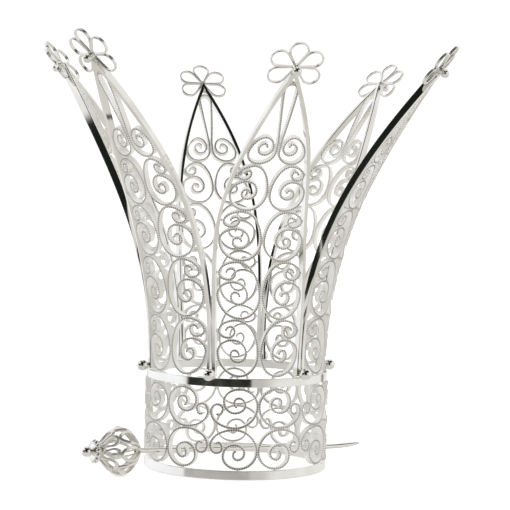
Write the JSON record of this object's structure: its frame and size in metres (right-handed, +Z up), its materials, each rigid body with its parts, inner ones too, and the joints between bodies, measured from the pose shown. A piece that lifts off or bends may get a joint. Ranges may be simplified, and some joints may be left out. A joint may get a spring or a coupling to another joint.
{
  "type": "wedding crown for a hair bun",
  "caption": "Openwork silver crown with lancet scroll petals and wire flowers that stands on a hair bun, held by a straight hairpin with an openwork bud that slides through the ring.",
  "frame": {"origin": "on the ring's axis, in the plane of the lower band's flat underside, which the crown stands on", "axes": "+Z up along the ring's axis, -Y towards the front petal, +X towards the viewer's right seen from the front; the hairpin's point is towards +X and its bud towards -X"},
  "size_m": [0.1051, 0.1164, 0.1162],
  "materials": {
    "band_silver": "polished silver",
    "filigree_silver": "polished silver ribbon with milled edges",
    "frame_silver": "polished silver",
    "bead_silver": "polished silver",
    "flower_silver": "polished silver",
    "pin_silver": "polished silver"
  },
  "bodies": {
    "crown": {"lower_rim_band": "band_silver", "waist_band": "band_silver", "base_lattice_1": "filigree_silver", "base_lattice_2": "filigree_silver", "base_lattice_3": "filigree_silver", "base_lattice_4": "filigree_silver", "base_lattice_5": "filigree_silver", "base_lattice_6": "filigree_silver", "seam_bead_1": "bead_silver", "seam_bead_2": "bead_silver", "seam_bead_3": "bead_silver", "seam_bead_4": "bead_silver", "seam_bead_5": "bead_silver", "seam_bead_6": "bead_silver", "petal_frame_1": "frame_silver", "petal_scrolls_left_1": "filigree_silver", "petal_scrolls_right_1": "filigree_silver", "petal_lyre_1": "filigree_silver", "flower_1": "flower_silver", "flower_bead_1": "bead_silver", "petal_frame_2": "frame_silver", "petal_scrolls_left_2": "filigree_silver", "petal_scrolls_right_2": "filigree_silver", "petal_lyre_2": "filigree_silver", "flower_2": "flower_silver", "flower_bead_2": "bead_silver", "petal_frame_3": "frame_silver", "petal_scrolls_left_3": "filigree_silver", "petal_scrolls_right_3": "filigree_silver", "petal_lyre_3": "filigree_silver", "flower_3": "flower_silver", "flower_bead_3": "bead_silver", "petal_frame_4": "frame_silver", "petal_scrolls_left_4": "filigree_silver", "petal_scrolls_right_4": "filigree_silver", "petal_lyre_4": "filigree_silver", "flower_4": "flower_silver", "flower_bead_4": "bead_silver", "petal_frame_5": "frame_silver", "petal_scrolls_left_5": "filigree_silver", "petal_scrolls_right_5": "filigree_silver", "petal_lyre_5": "filigree_silver", "flower_5": "flower_silver", "flower_bead_5": "bead_silver", "petal_frame_6": "frame_silver", "petal_scrolls_left_6": "filigree_silver", "petal_scrolls_right_6": "filigree_silver", "petal_lyre_6": "filigree_silver", "flower_6": "flower_silver", "flower_bead_6": "bead_silver"},
    "hairpin": {"pin_shaft": "pin_silver", "pin_bud_leaves": "pin_silver", "pin_bud_ovals": "pin_silver", "pin_collar": "pin_silver", "pin_end_ball": "pin_silver"}
  },
  "joints": [
    {"name": "pin_slide", "type": "slide", "parent": "crown", "child": "hairpin", "axis": [-0.9641, -0.2628, 0.0374], "range_m": [0, 0.07]}
  ]
}
